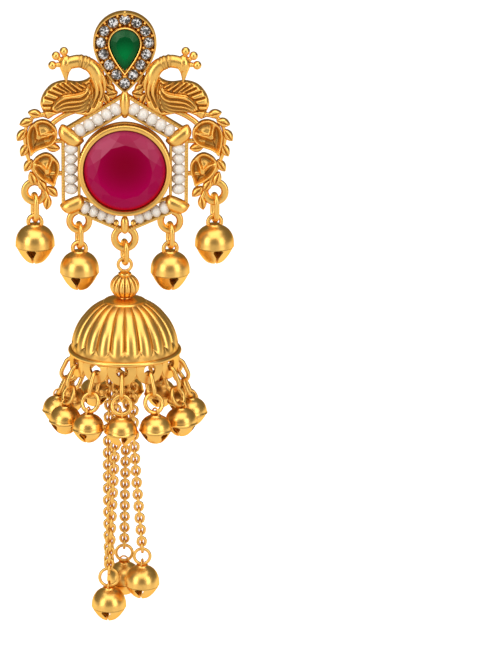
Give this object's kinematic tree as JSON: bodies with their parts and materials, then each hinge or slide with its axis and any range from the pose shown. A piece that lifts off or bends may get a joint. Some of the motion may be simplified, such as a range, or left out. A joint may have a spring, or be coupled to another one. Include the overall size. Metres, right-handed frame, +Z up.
{
  "type": "jhumka earring",
  "caption": "Drop earring: peacock stud with a round red stone in a pearl frame, a fluted dome hung under it, a fringe of small bells and a chain tassel.",
  "frame": {"origin": "where the ear post leaves the flat back of the pear-shaped crest", "axes": "+Z up along the hanging earring, +X to the right seen from the front, the front faces -Y and the post points along +Y"},
  "size_m": [0.0368, 0.0283, 0.1077],
  "materials": {
    "gold": "satin antique gold plating, dark in the recesses",
    "ruby": "faceted and polished, dark red",
    "emerald": "faceted and polished, deep green",
    "white_stone": "faceted and polished, clear white",
    "pearl": "soft pearl lustre"
  },
  "bodies": {
    "stud": {"stud_frame": "gold", "ear_post": "gold", "ruby_stone": "ruby", "emerald_stone": "emerald", "white_stone_01": "white_stone", "white_stone_02": "white_stone", "white_stone_03": "white_stone", "white_stone_04": "white_stone", "white_stone_05": "white_stone", "white_stone_06": "white_stone", "white_stone_07": "white_stone", "white_stone_08": "white_stone", "white_stone_09": "white_stone", "white_stone_10": "white_stone", "white_stone_11": "white_stone", "white_stone_12": "white_stone", "white_stone_13": "white_stone", "white_stone_14": "white_stone", "pearl_string_1": "pearl", "pearl_string_2": "pearl", "pearl_string_3": "pearl", "pearl_string_4": "pearl", "pearl_string_5": "pearl", "pearl_string_6": "pearl", "stud_link_1": "gold", "stud_link_2": "gold", "stud_link_3": "gold", "stud_link_4": "gold", "stud_bell_1": "gold", "stud_bell_2": "gold", "stud_bell_3": "gold", "stud_bell_4": "gold"},
    "swing_link": {"swing_link": "gold"},
    "drop": {"jhumka_dome": "gold", "fringe_drop_01": "gold", "fringe_drop_02": "gold", "fringe_drop_03": "gold", "fringe_drop_04": "gold", "fringe_drop_05": "gold", "fringe_drop_06": "gold", "fringe_drop_07": "gold", "fringe_drop_08": "gold", "fringe_drop_09": "gold", "fringe_drop_10": "gold", "fringe_drop_11": "gold", "fringe_drop_12": "gold", "chain_1": "gold", "chain_2": "gold", "chain_3": "gold", "chain_4": "gold", "tassel_bell_1": "gold", "tassel_bell_2": "gold", "tassel_bell_3": "gold"}
  },
  "joints": [
    {"name": "link_swing", "type": "hinge", "parent": "stud", "child": "swing_link", "pos_m": [0, -0.00095, -0.0318], "axis": [1, 0, 0], "range_deg": [-20, 20]},
    {"name": "dome_swing", "type": "hinge", "parent": "swing_link", "child": "drop", "pos_m": [0, -0.00095, -0.03471], "axis": [0, 1, 0], "range_deg": [-15, 15]}
  ]
}
